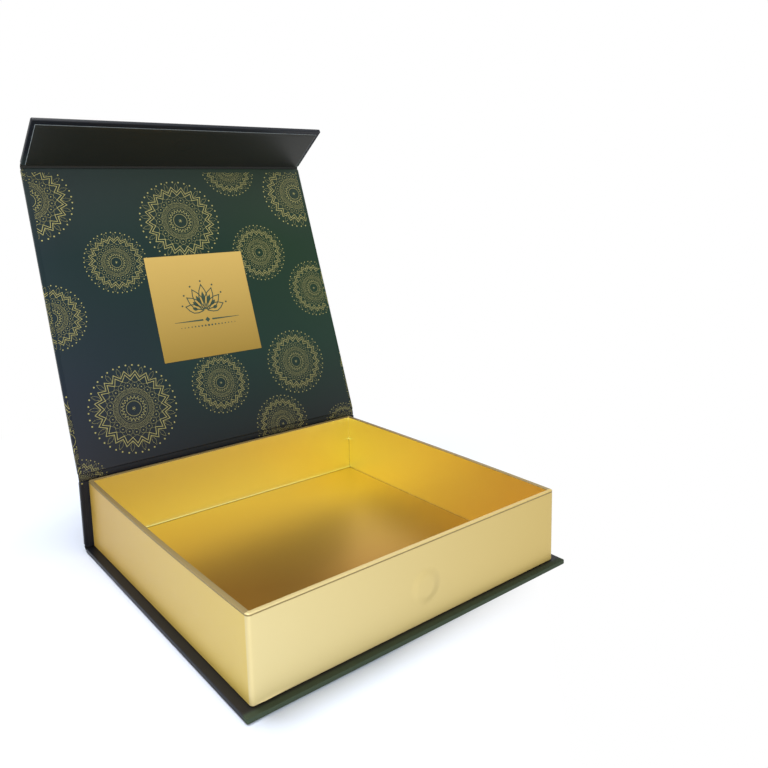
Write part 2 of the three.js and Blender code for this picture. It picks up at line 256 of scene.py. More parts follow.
def new_piece(name, mesh):
    """Turns a finished mesh into a piece of the scene."""
    data = bpy.data.meshes.new(name)
    mesh.to_mesh(data)
    mesh.free()
    piece = bpy.data.objects.new(name, data)
    bpy.context.scene.collection.objects.link(piece)
    shade(data)
    return piece


def shade(data):
    """Shades a mesh smooth over its curves and sharp at its edges."""
    data.polygons.foreach_set("use_smooth", [True] * len(data.polygons))
    data.set_sharp_from_angle(angle=SHARP_ANGLE)


def thicken(piece, thickness, outwards=False, back=0):
    """Gives a sheet its thickness, with sharp borders. back picks the material of its far side."""
    sheet = piece.modifiers.new("thickness", "SOLIDIFY")
    sheet.thickness = thickness
    sheet.offset = 1 if outwards else -1
    sheet.material_offset = back
    solid = piece.evaluated_get(bpy.context.evaluated_depsgraph_get())
    piece.data = bpy.data.meshes.new_from_object(solid)
    piece.modifiers.clear()
    shade(piece.data)


# Outside, a pearl gold paper: mica flakes in a clear binder, between a metal's glow and a dull paper.
# The base paper's fibres make a fine grain, and the glued sheet is never quite flat. The magnet's mark is
# shaded stronger than its real rise, so that it shows.
# The side walls' sheet is a deeper copy, painted shade. The rims of the sides and the back, and the line
# under the rim, are a dull dark copy, painted shade.
# Inside, the sheet is metallised and brighter; its tint pales towards the back and deepens towards the front,
# and the floor's copy is deeper still: painted reflection and shade where the walls reflect each other.
GOLD_GRAIN = 0.5 * MM
GOLD_WAVE = 38 * MM
MARK_RISE = 0.7 * MM
MARK_EDGE = 3.2 * MM
MARK_CENTRE = (0, tray_low.y, magnet_z)


def gold_sheet(name, pale, pale_at, deep, deep_at, metal, gloss, mark=0.0):
    """A gold paper with a fine grain and a slight cockle, whose tint deepens from one place to another
    as painted shade.

    mark is how far the magnet seems to lift it.
    """
    material, tree, place = new_material(name)
    grain = add_node(tree, "TexNoise", {"Vector": place, "Scale": 1 / GOLD_GRAIN, "Detail": 2.0})
    wave = add_node(tree, "TexNoise", {"Vector": place, "Scale": 1 / GOLD_WAVE, "Detail": 1.0})
    satin = add_node(tree, "MapRange", {"Value": grain, "To Min": gloss - 0.05, "To Max": gloss + 0.05})
    run = Vector(deep_at) - Vector(pale_at)
    start = run.dot(Vector(pale_at) * MM)
    end = run.dot(Vector(deep_at) * MM)
    reach = add_node(tree, "VectorMath", {0: place, 1: run}, operation="DOT_PRODUCT").outputs["Value"]
    share = add_node(tree, "MapRange", {"Value": reach, "From Min": start, "From Max": end})
    tint = add_node(tree, "MixRGB", {"Fac": share, "Color1": linear(pale), "Color2": linear(deep)})
    relief = add_node(tree, "Bump", {"Height": wave, "Distance": 0.6 * MM, "Strength": 0.3})
    if mark:
        off = add_node(tree, "VectorMath", {0: place, 1: MARK_CENTRE}, operation="DISTANCE").outputs["Value"]
        disc = add_node(
            tree,
            "MapRange",
            {"Value": off, "From Min": magnet_radius + MARK_EDGE, "From Max": magnet_radius - MARK_EDGE},
            interpolation_type="SMOOTHSTEP",
        )
        relief = add_node(tree, "Bump", {"Height": disc, "Distance": mark, "Normal": relief})
    tooth = add_node(
        tree,
        "Bump",
        {"Height": grain, "Distance": 0.01 * MM, "Strength": 0.25, "Normal": relief},
    )
    surface = add_node(
        tree,
        "BsdfPrincipled",
        {"Base Color": tint, "Metallic": metal, "Roughness": satin, "Normal": tooth},
    )
    add_node(tree, "OutputMaterial", {"Surface": surface})
    return material


# The outer paper's tint is paler on the left and deeper on the right: painted shade.
gold_paper = gold_sheet(
    "pearl gold paper", "#cdbd87", (-100, 0, 0), "#c1a962", (100, 0, 0), 0.2, 0.4, mark=MARK_RISE
)
# The side walls take a deeper copy of the paper, darker towards the back: painted shade.
shaded_side_paper = gold_sheet("pearl gold paper painted deeper as shade", "#ceb55c", (0, -100, 0), "#c49f3c", (0, 100, 0), 0.2, 0.4)
# The rims of the sides and the back, and the groove under the rim, take a dark copy: painted shade.
shaded_rim_paper = gold_sheet("gold paper painted dark as shade", "#8a784b", (0, -100, 0), "#7e6c40", (0, 100, 0), 0.2, 0.5)
# The lining pales towards the back and deepens towards the front: painted reflection.
gold_lining = gold_sheet("metallised gold paper", "#fffca2", (0, 110, 0), "#f9dc80", (0, -70, 0), 0.9, 0.36)
# The floor takes a deeper copy of the lining, deepest at the front on the left: painted shade.
shaded_floor_gold = gold_sheet(
    "metallised gold paper painted deeper as shade", "#e3bf5d", (0, 90, 0), "#b98a40", (-50, -20, 0), 1.0, 0.36
)
TRAY_PAPERS = (gold_paper, shaded_side_paper, shaded_rim_paper, gold_lining)

rim_low = tray_high.z - RIM_TURN_IN
low_straight = tray_low.z + BOTTOM_ROUND
high_straight = tray_high.z - RIM_ROUND
profile = [(BOTTOM_TURN_IN, tray_low.z), (2 * BOTTOM_ROUND, tray_low.z)]
profile += [(inwards, tray_low.z + up) for inwards, up in rounding(BOTTOM_ROUND)]
profile += [(0, low_straight + FLARE_HEIGHT * row / FLARE_ROWS) for row in range(1, FLARE_ROWS + 1)]
for row in range(OUTER_FIRST, OUTER_ROWS):
    profile.append((0, low_straight + (high_straight - low_straight) * row / OUTER_ROWS))
fold = tray_high.z - RIM_FOLD
profile = [(depth, z) for depth, z in profile if z < fold - FOLD_CLEAR]
line_row = len(profile)
profile += [(0, fold - FOLD_GROOVE), (FOLD_DEPTH, fold - FOLD_FLAT)]
profile += [(FOLD_DEPTH, fold + FOLD_FLAT), (0, fold + FOLD_GROOVE)]
profile += [(inwards, tray_high.z - down) for inwards, down in reversed(rounding(RIM_ROUND))]
rim_row = len(profile) - 1
profile += [(rim_depth - inwards, tray_high.z - down) for inwards, down in rounding(RIM_ROUND)]
profile.append((rim_depth, high_straight - RIM_SUPPORT))
for row in range(1, INNER_ROWS):
    profile.append((rim_depth, high_straight - (high_straight - rim_low) * row / INNER_ROWS))
profile += [(rim_depth, rim_low + LIFT_HEIGHT), (rim_depth, rim_low)]
rows = [tray_ring(depth, z) for depth, z in profile]
quarter_points = len(rows[0]) // len(TRAY_SIDES)
# Inside each corner, the turned-in edge stands off
for station, point in enumerate(rows[-1]):
    if station % quarter_points == 0 or station % quarter_points >= 2 * STATIONS:
        point.xy *= 1 - CORNER_LIFT / tray_high.x
tray_paper = skin("tray_paper", rows)
for material in TRAY_PAPERS:
    tray_paper.data.materials.append(material)
for polygon in tray_paper.data.polygons:
    quarters, station = divmod(polygon.index, quarter_points)
    row, quarter = divmod(quarters, len(TRAY_SIDES))
    wall = list(TRAY_SIDES)[quarter]
    on_side = wall in ("left", "right") and 0 < station <= 2 * STATIONS
    # Side walls take the deeper copy, and the dull rims and the groove under the rim the dark copy: painted
    # shade.
    on_shaded_rim = row >= rim_row - EDGE_STEPS and (on_side or wall == "back")
    if row > rim_row + EDGE_STEPS:
        paper = gold_lining
    elif on_shaded_rim or line_row <= row < line_row + GROOVE_ROWS:
        paper = shaded_rim_paper
    else:
        paper = shaded_side_paper if on_side else gold_paper
    polygon.material_index = TRAY_PAPERS.index(paper)
thicken(tray_paper, PAPER)
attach(tray_paper, "tray_and_base")
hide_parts("tray_wrap")


# Side boards and wall linings of the tray
# Two greyboard walls that have bowed with their paper, and four gold sheets glued inside, one a wall,
# from under the turned-in paper down to a crease on the floor. Their ends leave a seam in each corner.
WALL_STATIONS = 24
WALL_ROWS = 10
SEAM = 0.1 * MM
FOOT_STEPS = 6
FOOT_CURVE = 1.5
FOOT_RISE = 0.5 * MM
FOOT_REACH = 0.24 * MM
FOOT_GAP = 0.4 * MM


def wall_sheet(name, side, half_length, profile, thickness, material, node):
    """A sheet on one wall, inside out: its inner face follows a profile of depths and heights."""
    rows = []
    for depth, z in profile:
        row = []
        for step in range(-WALL_STATIONS, WALL_STATIONS + 1):
            row.append(wall_point(side, -half_length * step / WALL_STATIONS, z, depth))
        rows.append(row)
    piece = skin(name, rows, closed=False)
    piece.data.materials.append(material)
    thicken(piece, thickness)
    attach(piece, "tray_and_base")
    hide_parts(node)


for side in ("left", "right"):
    board_low, board_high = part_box(f"tray_{side}_board")
    board = board_high.x - board_low.x
    inner_depth = tray_high.x - min(abs(board_low.x), abs(board_high.x))
    levels = [board_low.z + (board_high.z - board_low.z) * row / WALL_ROWS for row in range(WALL_ROWS + 1)]
    profile = [(inner_depth, z) for z in levels]
    node = f"tray_{side}_board"
    wall_sheet(f"{side}_wall_board", side, board_high.y, profile, board, greyboard, node)

floor_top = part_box("tray_floor_liner")[0].z
for side in TRAY_SIDES:
    foot = floor_top + FOOT_GAP
    reach = FOOT_REACH if side == "back" else 0
    profile = [(rim_depth, floor_top), (rim_depth, foot)]
    for step in range(FOOT_STEPS):
        share = step / FOOT_STEPS
        depth = rim_depth + reach * math.cos(math.pi / 2 * share)
        profile.append((depth, foot + FOOT_RISE * share ** FOOT_CURVE))
    crease = foot + FOOT_RISE
    levels = [crease + (rim_low - crease) * row / WALL_ROWS for row in range(WALL_ROWS + 1)]
    profile += [(rim_depth, z) for z in levels]
    half_length = tray_high.x - rim_depth - SEAM
    node = f"tray_{side}_liner"
    wall_sheet(f"{side}_wall_lining", side, half_length, profile, PAPER, gold_lining, node)


# Floor lining
# A flat sheet of metallised gold paper, cut a little small so that it drops in, and glued to the floor.
# It takes a deeper copy of the lining's tint, deepest at the front on the left, as painted shade.
dress(shaded_floor_gold, "tray_floor_liner")


# Printed paper round the case
# Art paper printed with a dark ground that shifts from navy to green, laminated with satin film, and
# turned in round the edges of the base, spine, lid and flap boards, which it joins into one case.
joints = {joint["name"]: joint for joint in frame["joints"]}
lid_axis = Vector(joints["lid_hinge"]["pos_m"])
flap_axis = Vector(joints["flap_hinge"]["pos_m"])
half_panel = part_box("spine_wrap")[1].y - lid_axis.y
base_axis = Vector((0, lid_axis.y, half_panel))
lid_length = (flap_axis - lid_axis).length
rightwards = Vector((1, 0, 0))
spine_along = Vector((0, 0, 1))
base_along = Vector((0, -1, 0))
lid_along = (flap_axis - lid_axis).normalized()
flap_fold = math.radians(90 - joints["flap_hinge"]["range_deg"][1])
flap_along = Matrix.Rotation(flap_fold, 3, rightwards) @ lid_along
CASE_CORNER = 0.9 * MM
INNER_FOLD = 0.2 * MM
CASE_EDGE = 0.35 * MM
CASE_TURN_IN = 15 * MM
FLAT_MARGIN = 0.4 * MM
FOLD_LIP = 0.2 * MM
FLAP_SPARE = 0.9 * MM


def panel_frame(axis, along, across):
    """A panel's own frame at its fold's axis: X across it, Y along it and Z towards its inner face."""
    return Matrix.Translation(axis) @ Matrix((across, along, across.cross(along))).transposed().to_4x4()


PANELS = {
    "base": panel_frame(base_axis, base_along, -rightwards),
    "spine": panel_frame(base_axis, spine_along, rightwards),
    "lid": panel_frame(lid_axis, lid_along, rightwards),
    "flap": panel_frame(flap_axis, flap_along, rightwards),
}
BODIES = {"base": "tray_and_base", "spine": "tray_and_base", "lid": "lid", "flap": "flap"}


def panel_box(panel, node):
    """A CAD node's lowest and highest corner in a panel's own frame."""
    flat = PANELS[panel].inverted()
    points = [flat @ vertex.co for vertex in frame["nodes"][node].data.vertices]
    return Vector(map(min, zip(*points))), Vector(map(max, zip(*points)))


def outline(low, high, inset, radius, z):
    """One turn round a rectangle with round corners, inset from its sides, at one height."""
    radius = max(radius - inset, INNER_FOLD)
    ring = []
    for quarter in range(4):
        x = high.x - inset - radius if quarter in (0, 3) else low.x + inset + radius
        y = high.y - inset - radius if quarter in (0, 1) else low.y + inset + radius
        for step in range(EDGE_STEPS + 1):
            turn = math.pi / 2 * (quarter + step / EDGE_STEPS)
            ring.append((x + radius * math.cos(turn), y + radius * math.sin(turn), z))
    return ring


# Laminated print: near-black colour under a clear satin film, which lays a soft even haze over it.
# The film takes up the paper's tooth as a fine orange peel. The colour is darkened towards the hinge and over
# the spine and the base, and past the flap's fold, as painted shade, and paled under that fold as painted
# light.
# Along the base's front edge it is green and its film worn rougher; the margin next to the tray stays dark as
# painted shade.
PRINT_DRIFT = 70 * MM
FILM_PEEL = 0.8 * MM
PALE_BAND = 60 * MM
DARK_BAND = 8 * MM
FRONT_BAND = 4.6 * MM
FRONT_FADE = 1.8 * MM
LOW_BAND = 12 * MM
DUSK_BAND = 60 * MM
half_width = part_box("lid_wrap")[1].x
printed_paper, tree, place = new_material("laminated printed paper")
axes = add_node(tree, "SeparateXYZ", {"Vector": place})
drift = add_node(tree, "TexNoise", {"Vector": place, "Scale": 1 / PRINT_DRIFT, "Detail": 1.0})
sway = add_node(tree, "MapRange", {"Value": drift, "To Min": -0.16, "To Max": 0.16})
run = add_node(
    tree,
    "MapRange",
    {"Value": axes.outputs["X"], "From Min": -half_width, "From Max": half_width, "To Max": 0.8},
)
climb = add_node(
    tree,
    "MapRange",
    {"Value": axes.outputs["Z"], "From Min": lid_axis.z, "From Max": flap_axis.z, "To Max": 0.4},
)
slant = add_node(tree, "Math", {0: run, 1: climb}, operation="ADD")
hue = add_node(tree, "Math", {0: slant, 1: sway}, operation="ADD", use_clamp=True)
to_middle = add_node(tree, "MapRange", {"Value": hue, "From Min": 0.0, "From Max": 0.5})
to_right = add_node(tree, "MapRange", {"Value": hue, "From Min": 0.5, "From Max": 1.0})
left_half = add_node(
    tree, "MixRGB", {"Fac": to_middle, "Color1": linear("#081428"), "Color2": linear("#062725")}
)
drifted = add_node(tree, "MixRGB", {"Fac": to_right, "Color1": left_half, "Color2": linear("#032d15")})
# Darker towards the hinge and over the spine and the base: painted shade.
low = add_node(
    tree,
    "MapRange",
    {"Value": axes.outputs["Z"], "From Min": lid_axis.z + DUSK_BAND, "From Max": lid_axis.z - LOW_BAND},
)
shaded_low = add_node(tree, "MixRGB", {"Fac": low, "Color1": drifted, "Color2": linear("#080a13")})
# Along the base's front edge the print turns green; the margin next to the tray stays dark: painted shade.
front_edge = -half_width + FRONT_BAND
front = add_node(
    tree,
    "MapRange",
    {"Value": axes.outputs["Y"], "From Min": front_edge, "From Max": front_edge - FRONT_FADE},
)
near = add_node(tree, "MixRGB", {"Fac": front, "Color1": shaded_low, "Color2": linear("#333f2f")})
# Paler under the flap's fold: painted light.
painted_top_light = add_node(
    tree,
    "MapRange",
    {"Value": axes.outputs["Z"], "From Min": flap_axis.z - PALE_BAND, "From Max": flap_axis.z, "To Max": 0.4},
)
high = add_node(tree, "MixRGB", {"Fac": painted_top_light, "Color1": near, "Color2": linear("#3e423f")})
# Darker past the flap's fold: painted shade.
fold_shade = add_node(
    tree,
    "MapRange",
    {"Value": axes.outputs["Z"], "From Min": flap_axis.z, "From Max": flap_axis.z + DARK_BAND},
)
ground = add_node(tree, "MixRGB", {"Fac": fold_shade, "Color1": high, "Color2": linear("#0c121b")})
peel = add_node(tree, "TexNoise", {"Vector": place, "Scale": 1 / FILM_PEEL, "Detail": 2.0})
film = add_node(tree, "MapRange", {"Value": peel, "To Min": 0.4, "To Max": 0.5})
rub_and_shade = add_node(tree, "Math", {0: front, 1: 0.35, 2: film}, operation="MULTIPLY_ADD")
tooth = add_node(tree, "Bump", {"Height": peel, "Distance": 0.01 * MM, "Strength": 0.3})
surface = add_node(
    tree,
    "BsdfPrincipled",
    {"Base Color": ground, "Roughness": rub_and_shade, "IOR": 1.35, "Normal": tooth},
)
add_node(tree, "OutputMaterial", {"Surface": surface})

for panel in PANELS:
    node = f"{panel}_wrap"
    low, high = panel_box(panel, node)
    low.y += FOLD_LIP
    if panel in ("spine", "lid"):
        high.y -= FOLD_LIP
    if panel == "flap":
        high.y += FLAP_SPARE
    rows = [(CASE_EDGE + FLAT_MARGIN, low.z)]
    rows += [(inwards, low.z + up) for inwards, up in rounding(CASE_EDGE)]
    rows += [(inwards, high.z - down) for inwards, down in reversed(rounding(CASE_EDGE))]
    rows += [(CASE_EDGE + FLAT_MARGIN, high.z), (CASE_TURN_IN, high.z)]
    rings = [outline(low, high, inwards, CASE_CORNER, z) for inwards, z in rows]
    wrap = skin(f"{panel}_paper", rings, first_cap=True, panel=PANELS[panel])
    wrap.data.materials.append(printed_paper)
    thicken(wrap, PAPER)
    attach(wrap, BODIES[panel])
    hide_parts(node)
dress(printed_paper, "spine_liner")


# Linings of the lid and the flap
# A printed sheet inside the lid and a plain dark one inside the flap, glued over the turned-in edges and
# down into the grooves at the folds. The flap's sheet shows its paper core as a pale line at its cut edge,
# and the magnet as a faint round mark.
LIP_ROUND = 0.6 * MM
LIP_FOOT = 0.2 * MM
FLAP_RISE = 0.12 * MM
MARK_STEP = 1 * MM
MARK_STEPS = 12
CUT_WIDTH = 0.35 * MM
CUT_DROP = 0.12 * MM

# Black-green stock under the same satin film
dark_lining, tree, place = new_material("laminated dark paper")
peel = add_node(tree, "TexNoise", {"Vector": place, "Scale": 1 / FILM_PEEL, "Detail": 2.0})
tone = add_node(tree, "MixRGB", {"Fac": peel, "Color1": linear("#141714"), "Color2": linear("#1a1d19")})
film = add_node(tree, "MapRange", {"Value": peel, "To Min": 0.42, "To Max": 0.52})
tooth = add_node(tree, "Bump", {"Height": peel, "Distance": 0.01 * MM, "Strength": 0.3})
surface = add_node(
    tree,
    "BsdfPrincipled",
    {"Base Color": tone, "Roughness": film, "IOR": 1.35, "Normal": tooth},
)
add_node(tree, "OutputMaterial", {"Surface": surface})

# The cut edge is bare white paper, a little fuzzy
cut_edge, tree, place = new_material("cut paper edge")
fuzz = add_node(tree, "TexNoise", {"Vector": place, "Scale": 1 / FIBRE, "Detail": 3.0})
tone = add_node(tree, "MixRGB", {"Fac": fuzz, "Color1": linear("#4a5358"), "Color2": linear("#848d90")})
surface = add_node(tree, "BsdfPrincipled", {"Base Color": tone, "Roughness": 0.8})
add_node(tree, "OutputMaterial", {"Surface": surface})

for panel, material, slot in (("lid", printed_paper, "printed_paper"), ("flap", dark_lining, "dark_lining")):
    low, high = panel_box(panel, f"{panel}_liner")
    face = high.z
    profile = [(low.y, LIP_FOOT)]
    profile += [(low.y + out, face - down) for out, down in reversed(rounding(LIP_ROUND))]
    profile += [(low.y + LIP_ROUND + FLAT_MARGIN, face)]
    if panel == "lid":
        profile += [(high.y - LIP_ROUND - FLAT_MARGIN, face)]
        profile += [(high.y - out, face - down) for out, down in rounding(LIP_ROUND)]
        profile += [(high.y, LIP_FOOT)]
        columns = []
    else:
        magnet_low, magnet_high = panel_box("flap", "flap_magnet")
        magnet_along = (magnet_low.y + magnet_high.y) / 2
        columns = [step * MARK_STEP for step in range(-MARK_STEPS, MARK_STEPS + 1)]
        profile += [(magnet_along + step, face) for step in columns]
        profile += [(high.y - CUT_WIDTH, face), (high.y, face - CUT_DROP)]
    inner = high.x - CUT_WIDTH
    rows = []
    for along, height in profile:
        row = [(-high.x, along, height - CUT_DROP), (-inner, along, height)]
        for across in columns:
            off = math.hypot(across, along - magnet_along) - magnet_radius
            row.append((across, along, height + FLAP_RISE * smooth(0.5 - off / MAGNET_SLOPE)))
        row += [(inner, along, height), (high.x, along, height - CUT_DROP)]
        rows.append(row)
    lining = skin(f"{panel}_lining", rows, closed=False, panel=PANELS[panel])
    lining.data.materials.append(material)
    lining.data.materials.append(cut_edge)
    if panel == "flap":
        count = len(rows[0]) - 1
        for polygon in lining.data.polygons:
            at_side = polygon.index % count in (0, count - 1)
            at_end = polygon.index // count == len(rows) - 2
            polygon.material_index = int(at_side or at_end)
    thicken(lining, PAPER)
    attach(lining, BODIES[panel])
    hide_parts(f"{panel}_liner")


# Paper hinges
# Where the boards stop short of each other, the wrap and the lining are pressed together into a flexible
# strip in the middle of the panels' thickness.
STRIP = 0.3 * MM
STRIP_TUCK = 0.1 * MM
STRIP_STEPS = 12
strip_reach = panel_box("lid", "lid_wrap")[0].y + FOLD_LIP + STRIP_TUCK


def strip_point(axis, to_first, to_second, share):
    """A point on the middle of a hinge strip and its inward direction, from the first panel to the second."""
    first = axis + to_first * strip_reach
    second = axis + to_second * strip_reach
    spot = first * (1 - share) ** 2 + axis * 2 * share * (1 - share) + second * share ** 2
    heading = (axis - first) * (1 - share) + (second - axis) * share
    return spot, rightwards.cross(heading.normalized())


HINGES = {
    "base": (base_axis, base_along, spine_along),
    "lid": (lid_axis, -spine_along, lid_along),
    "flap": (flap_axis, -lid_along, flap_along),
}
for hinge, (axis, to_first, to_second) in HINGES.items():
    rows = []
    for step in range(STRIP_STEPS + 1):
        spot, inwards = strip_point(axis, to_first, to_second, step / STRIP_STEPS)
        middle = spot + inwards * STRIP / 2
        rows.append([middle - rightwards * half_width, middle + rightwards * half_width])
    strip = skin(f"{hinge}_hinge_paper", rows, closed=False)
    strip.data.materials.append(dark_lining if hinge == "flap" else printed_paper)
    strip.data.materials.append(printed_paper)
    thicken(strip, STRIP, back=1)
    if hinge == "base":
        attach(strip, "tray_and_base")
        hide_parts("base_fold_strip")
    else:
        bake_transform(strip)
        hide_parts(f"{hinge}_hinge_strip")


# Foil medallions
# Round lacework ornaments, stamped in pale gold foil over the print, inside the lid and over the whole
# outside of the case. Each is a set of rings of dots, leaves, zigzags and circles about one centre.
FOIL_LIFT = 0.02 * MM
FOIL = 0.02 * MM
POINTS = 21
RING_SIDES = 40
BEAD_SIDES = 10
LEAF_STEPS = 4
MITRE_LIMIT = 0.4
MEDALLIONS = (
    (-106, 182, 29), (-5, 164, 31), (41.5, 204, 22.5), (97, 183, 29), (-57, 136.5, 22.3), (53.5, 136, 22.7),
    (95.5, 103.5, 23), (-105, 103, 22.5), (-64.7, 36.5, 30.4), (0, 42.5, 22.5), (64.5, 48, 25), (42, 4, 22),
    (96, -8, 17.5), (-105.5, -6.5, 18.5),
)


def ribbon(art, points, width):
    """A closed line of the artwork: a flat band with mitred turns."""
    count = len(points)
    left, right = [], []
    for i, point in enumerate(points):
        before = (point - points[i - 1]).normalized()
        after = (points[(i + 1) % count] - point).normalized()
        heading = (before + after).normalized()
        out = Vector((-heading.y, heading.x))
        spread = width / 2 / max(heading.dot(after), MITRE_LIMIT)
        left.append(art.verts.new((point + out * spread).to_3d()))
        right.append(art.verts.new((point - out * spread).to_3d()))
    for i in range(count):
        art.faces.new((right[i - 1], right[i], left[i], left[i - 1]))


def around(centre, radius, count, turn=0.0):
    """Points spaced evenly round a circle."""
    angles = [math.tau * (i + turn) / count for i in range(count)]
    return [centre + Vector((math.cos(a), math.sin(a))) * radius for a in angles]


def dot(art, centre, radius, sides=8):
    """A small round spot of the artwork."""
    art.faces.new([art.verts.new(point.to_3d()) for point in around(centre, radius, sides)])


def zigzag(centre, low, high, count, turn=0.0):
    """A star line that goes to and fro between two radii."""
    valleys = around(centre, low, count, turn)
    peaks = around(centre, high, count, turn + 0.5)
    return [point for pair in zip(valleys, peaks) for point in pair]


def leaf(centre, root, tip, breadth, angle):
    """A pointed leaf on a ray from the centre, as a closed outline."""
    ray = Vector((math.cos(angle), math.sin(angle)))
    out = Vector((-ray.y, ray.x))
    edge = []
    for i in range(2 * LEAF_STEPS):
        share = i / LEAF_STEPS if i < LEAF_STEPS else 2 - i / LEAF_STEPS
        swell = math.sin(math.pi * share) * breadth * (1 if i > LEAF_STEPS else -1)
        edge.append(centre + ray * (root + (tip - root) * share) + out * swell)
    return edge


def medallion(art, centre, radius):
    """One ornament, drawn from its rim to its middle."""
    fine = 0.0034 * radius
    line = 0.008 * radius
    bold = 0.012 * radius
    for point in around(centre, 0.957 * radius, 2 * POINTS, 0.5):
        dot(art, point, 0.018 * radius)
    for i in range(POINTS):
        angle = math.tau * i / POINTS
        ribbon(art, leaf(centre, 0.72 * radius, 0.935 * radius, 0.042 * radius, angle), fine)
    ribbon(art, zigzag(centre, 0.7 * radius, 0.835 * radius, POINTS), bold)
    ribbon(art, zigzag(centre, 0.625 * radius, 0.755 * radius, POINTS), bold)
    ribbon(art, zigzag(centre, 0.57 * radius, 0.63 * radius, POINTS, 0.5), fine)
    for point in around(centre, 0.51 * radius, POINTS, 0.5):
        ribbon(art, around(point, 0.07 * radius, BEAD_SIDES), fine)
        dot(art, point, 0.013 * radius, 6)
    for turn in (0, 0.5):
        ribbon(art, zigzag(centre, 0.35 * radius, 0.43 * radius, 2 * POINTS, turn), 0.7 * fine)
    for share, width in ((0.44, fine), (0.34, fine), (0.3, fine), (0.165, line), (0.035, fine)):
        ribbon(art, around(centre, share * radius, RING_SIDES), width)
    ribbon(art, zigzag(centre, 0.21 * radius, 0.275 * radius, POINTS), line)
    dot(art, centre, 0.018 * radius)


def lay(name, art, low, high, place, material, across_cuts=(), along_cuts=()):
    """Cuts flat artwork at low and high, splits it at the given lines and lays it where place says."""
    cuts = [(low, Vector((-1, 0, 0)), True), (low, Vector((0, -1, 0)), True)]
    cuts += [(high, Vector((1, 0, 0)), True), (high, Vector((0, 1, 0)), True)]
    cuts += [(Vector((cut, 0)), Vector((1, 0, 0)), False) for cut in across_cuts]
    cuts += [(Vector((0, cut)), Vector((0, 1, 0)), False) for cut in along_cuts]
    for corner, direction, clear in cuts:
        geometry = art.verts[:] + art.edges[:] + art.faces[:]
        bmesh.ops.bisect_plane(
            art, geom=geometry, plane_co=corner.to_3d(), plane_no=direction, clear_outer=clear
        )
    for vertex in art.verts:
        vertex.co = place(vertex.co.x, vertex.co.y)
    layer = new_piece(name, art)
    layer.data.materials.append(material)
    thicken(layer, FOIL, outwards=True)
    return layer


def medallions(spots, low, high):
    """The flat artwork of those ornaments that touch a part of the sheet."""
    art = bmesh.new()
    for x, y, radius in spots:
        centre = Vector((x, y)) * MM
        near = Vector((min(max(centre.x, low.x), high.x), min(max(centre.y, low.y), high.y)))
        if (near - centre).length < radius * MM:
            medallion(art, centre, radius * MM)
    return art


# Hot-stamped foil: thin pale gold, satin because the film's tooth shows through it, and darker towards the
# hinge as painted shade
FOIL_SHADE_BAND = 130 * MM
gold_foil, tree, place = new_material("pale gold foil")
wear = add_node(tree, "TexNoise", {"Vector": place, "Scale": 1 / FILM_PEEL, "Detail": 2.0})
unshaded_foil = add_node(tree, "MixRGB", {"Fac": wear, "Color1": linear("#aaa156"), "Color2": linear("#d2cc8b")})
axes = add_node(tree, "SeparateXYZ", {"Vector": place})
# Towards the hinge the foil is darkened: painted shade.
foil_shade_from = lid_axis.z + FOIL_SHADE_BAND
rub_and_shade = add_node(
    tree,
    "MapRange",
    {"Value": axes.outputs["Z"], "From Min": foil_shade_from, "From Max": lid_axis.z, "To Max": 0.36},
)
tone = add_node(tree, "MixRGB", {"Fac": rub_and_shade, "Color1": unshaded_foil, "Color2": linear("#2c2a18")})
surface = add_node(
    tree,
    "BsdfPrincipled",
    {"Base Color": tone, "Metallic": 0.7, "Roughness": 0.4},
)
add_node(tree, "OutputMaterial", {"Surface": surface})

# Inside the lid, up to a plain band under the flap's fold
STAMP_MARGIN = 0.4 * MM
PLAIN_BAND = 3.1 * MM
lining_low, lining_high = panel_box("lid", "lid_liner")
low = Vector((lining_low.x + STAMP_MARGIN, lining_low.y + LIP_ROUND))
high = Vector((lining_high.x - STAMP_MARGIN, lining_high.y - PLAIN_BAND))
foil = lay(
    "lid_inner_foil",
    medallions(MEDALLIONS, low, high),
    low,
    high,
    lambda x, y: PANELS["lid"] @ Vector((x, y, lining_high.z + FOIL_LIFT)),
    gold_foil,
)
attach(foil, "lid")

# Outside, where the sheet runs on from the spine over the lid to the flap, and round the side edges of
# the spine and the lid
SPOTS_BESIDE = (
    (-72, 233, 19), (-18, 240, 15), (98, 233, 18), (62, 246, 13),
    (-62, -24, 19), (4, -32, 17), (66, -34, 18),
)
spine_length = (lid_axis - base_axis).length
quarter_turn = CASE_EDGE * math.pi / 2


def edge_place(panel, low, high, origin):
    """How a flat sheet lies on the outside of a panel and round its side edges on to the inner face."""
    side_wall = high.z - low.z - 2 * CASE_EDGE
    straight = high.x - CASE_EDGE
    arc = CASE_EDGE + FOIL_LIFT

    def place(across, up):
        run = abs(across) - straight
        if run <= 0:
            x, z = abs(across), low.z - FOIL_LIFT
        elif run <= quarter_turn:
            turn = run / CASE_EDGE
            x, z = straight + arc * math.sin(turn), low.z + CASE_EDGE - arc * math.cos(turn)
        elif run <= quarter_turn + side_wall:
            x, z = straight + arc, low.z + CASE_EDGE + run - quarter_turn
        elif run <= 2 * quarter_turn + side_wall:
            turn = (run - quarter_turn - side_wall) / CASE_EDGE
            x, z = straight + arc * math.cos(turn), high.z - CASE_EDGE + arc * math.sin(turn)
        else:
            x, z = straight - (run - 2 * quarter_turn - side_wall), high.z + FOIL_LIFT
        return PANELS[panel] @ Vector((math.copysign(x, across), origin - up, z))

    turns = [quarter_turn * step / EDGE_STEPS for step in range(EDGE_STEPS + 1)]
    runs = turns + [quarter_turn + side_wall + turn for turn in turns]
    return place, [side * (straight + run) for run in runs for side in (-1, 1)], straight + runs[-1]


